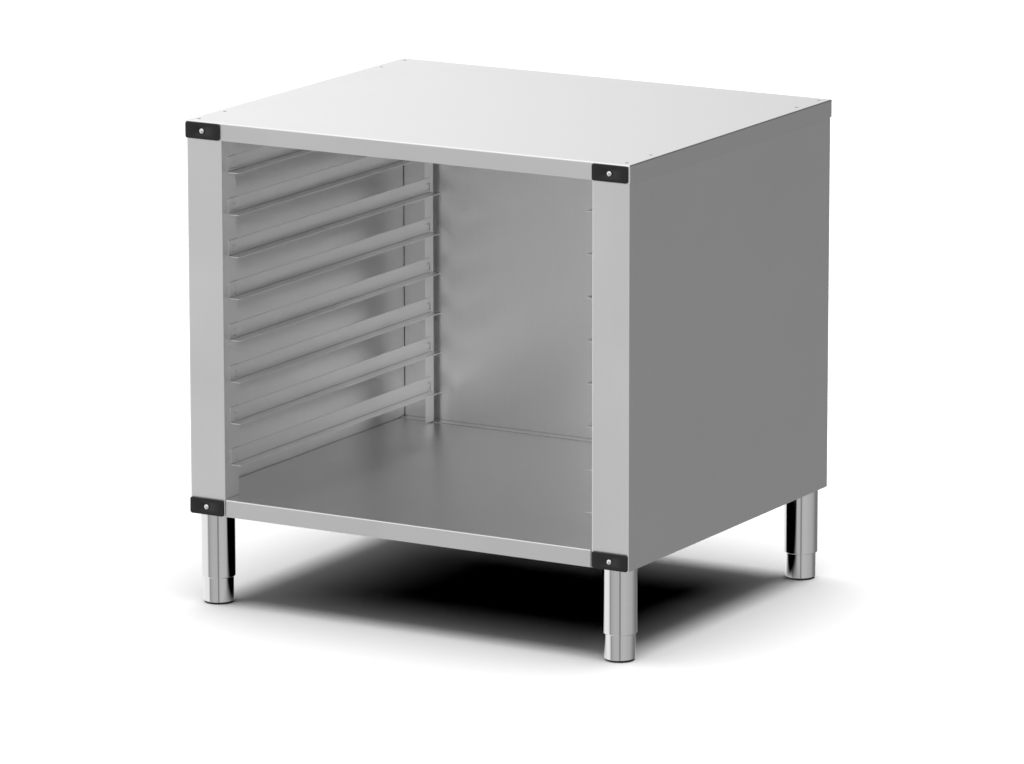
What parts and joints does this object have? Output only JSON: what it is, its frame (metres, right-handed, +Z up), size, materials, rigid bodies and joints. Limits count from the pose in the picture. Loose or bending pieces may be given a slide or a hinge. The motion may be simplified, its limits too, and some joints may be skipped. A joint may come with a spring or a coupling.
{
  "type": "combi oven stand",
  "caption": "Open-front folded stainless stand for a countertop combi oven, with L-section tray runners, a bottom shelf, black corner caps and screw-adjusted round legs.",
  "frame": {"origin": "on the floor, in the middle of the outer box", "axes": "+X to the right, +Y to the back, +Z up; the open front faces -Y"},
  "size_m": [0.742, 0.6232, 0.727],
  "materials": {
    "top_stainless": "fine brushed",
    "brushed_stainless": "fine brushed",
    "runner_stainless": "fine brushed",
    "polished_stainless": "polished",
    "fastener_stainless": "polished",
    "fitting_steel": "plain",
    "cap_plastic": "satin moulded",
    "glide_plastic": "moulded"
  },
  "bodies": {
    "cabinet": {"back_panel": "brushed_stainless", "back_rivets": "fastener_stainless", "bottom_shelf": "brushed_stainless", "cap_screws": "fastener_stainless", "corner_cap_bottom_left": "cap_plastic", "corner_cap_bottom_right": "cap_plastic", "corner_cap_top_left": "cap_plastic", "corner_cap_top_right": "cap_plastic", "leg_bush_front_left": "fitting_steel", "leg_bush_front_right": "fitting_steel", "leg_bush_rear_left": "fitting_steel", "leg_bush_rear_right": "fitting_steel", "leg_nuts": "fitting_steel", "leg_plate_front_left": "fitting_steel", "leg_plate_front_right": "fitting_steel", "leg_plate_rear_left": "fitting_steel", "leg_plate_rear_right": "fitting_steel", "leg_studs": "fitting_steel", "leg_tube_front_left": "polished_stainless", "leg_tube_front_right": "polished_stainless", "leg_tube_rear_left": "polished_stainless", "leg_tube_rear_right": "polished_stainless", "rear_post_left": "runner_stainless", "rear_post_right": "runner_stainless", "shelf_stiffener": "brushed_stainless", "side_panel_left": "brushed_stainless", "side_panel_right": "brushed_stainless", "top_panel": "top_stainless", "top_stiffener_front": "brushed_stainless", "top_stiffener_rear": "brushed_stainless", "tray_runner_left_1": "runner_stainless", "tray_runner_left_2": "runner_stainless", "tray_runner_left_3": "runner_stainless", "tray_runner_left_4": "runner_stainless", "tray_runner_left_5": "runner_stainless", "tray_runner_left_6": "runner_stainless", "tray_runner_left_7": "runner_stainless", "tray_runner_left_8": "runner_stainless", "tray_runner_right_1": "runner_stainless", "tray_runner_right_2": "runner_stainless", "tray_runner_right_3": "runner_stainless", "tray_runner_right_4": "runner_stainless", "tray_runner_right_5": "runner_stainless", "tray_runner_right_6": "runner_stainless", "tray_runner_right_7": "runner_stainless", "tray_runner_right_8": "runner_stainless"},
    "front_left_glide": {"foot_glide_front_left": "glide_plastic"},
    "front_left_foot": {"foot_sleeve_front_left": "polished_stainless", "foot_spindle_front_left": "fitting_steel"},
    "front_right_glide": {"foot_glide_front_right": "glide_plastic"},
    "front_right_foot": {"foot_sleeve_front_right": "polished_stainless", "foot_spindle_front_right": "fitting_steel"},
    "rear_left_glide": {"foot_glide_rear_left": "glide_plastic"},
    "rear_left_foot": {"foot_sleeve_rear_left": "polished_stainless", "foot_spindle_rear_left": "fitting_steel"},
    "rear_right_glide": {"foot_glide_rear_right": "glide_plastic"},
    "rear_right_foot": {"foot_sleeve_rear_right": "polished_stainless", "foot_spindle_rear_right": "fitting_steel"}
  },
  "joints": [
    {"name": "front_left_foot_height", "type": "slide", "parent": "cabinet", "child": "front_left_glide", "axis": [0, 0, 1], "range_m": [-0.02001, 0.03001]},
    {"name": "front_left_foot_turn", "type": "hinge", "parent": "front_left_glide", "child": "front_left_foot", "pos_m": [-0.3401, -0.2762, 0], "axis": [0, 0, 1], "range_deg": [-3600, 5400]},
    {"name": "front_right_foot_height", "type": "slide", "parent": "cabinet", "child": "front_right_glide", "axis": [0, 0, 1], "range_m": [-0.02001, 0.03001]},
    {"name": "front_right_foot_turn", "type": "hinge", "parent": "front_right_glide", "child": "front_right_foot", "pos_m": [0.3401, -0.2762, 0], "axis": [0, 0, 1], "range_deg": [-3600, 5400]},
    {"name": "rear_left_foot_height", "type": "slide", "parent": "cabinet", "child": "rear_left_glide", "axis": [0, 0, 1], "range_m": [-0.02001, 0.03001]},
    {"name": "rear_left_foot_turn", "type": "hinge", "parent": "rear_left_glide", "child": "rear_left_foot", "pos_m": [-0.3401, 0.2814, 0], "axis": [0, 0, 1], "range_deg": [-3600, 5400]},
    {"name": "rear_right_foot_height", "type": "slide", "parent": "cabinet", "child": "rear_right_glide", "axis": [0, 0, 1], "range_m": [-0.02001, 0.03001]},
    {"name": "rear_right_foot_turn", "type": "hinge", "parent": "rear_right_glide", "child": "rear_right_foot", "pos_m": [0.3401, 0.2814, 0], "axis": [0, 0, 1], "range_deg": [-3600, 5400]}
  ],
  "couplings": [
    {"joint": "front_left_foot_height", "follows": "front_left_foot_turn", "m_per_rad": 0.00031831},
    {"joint": "front_right_foot_height", "follows": "front_right_foot_turn", "m_per_rad": 0.00031831},
    {"joint": "rear_left_foot_height", "follows": "rear_left_foot_turn", "m_per_rad": 0.00031831},
    {"joint": "rear_right_foot_height", "follows": "rear_right_foot_turn", "m_per_rad": 0.00031831}
  ]
}
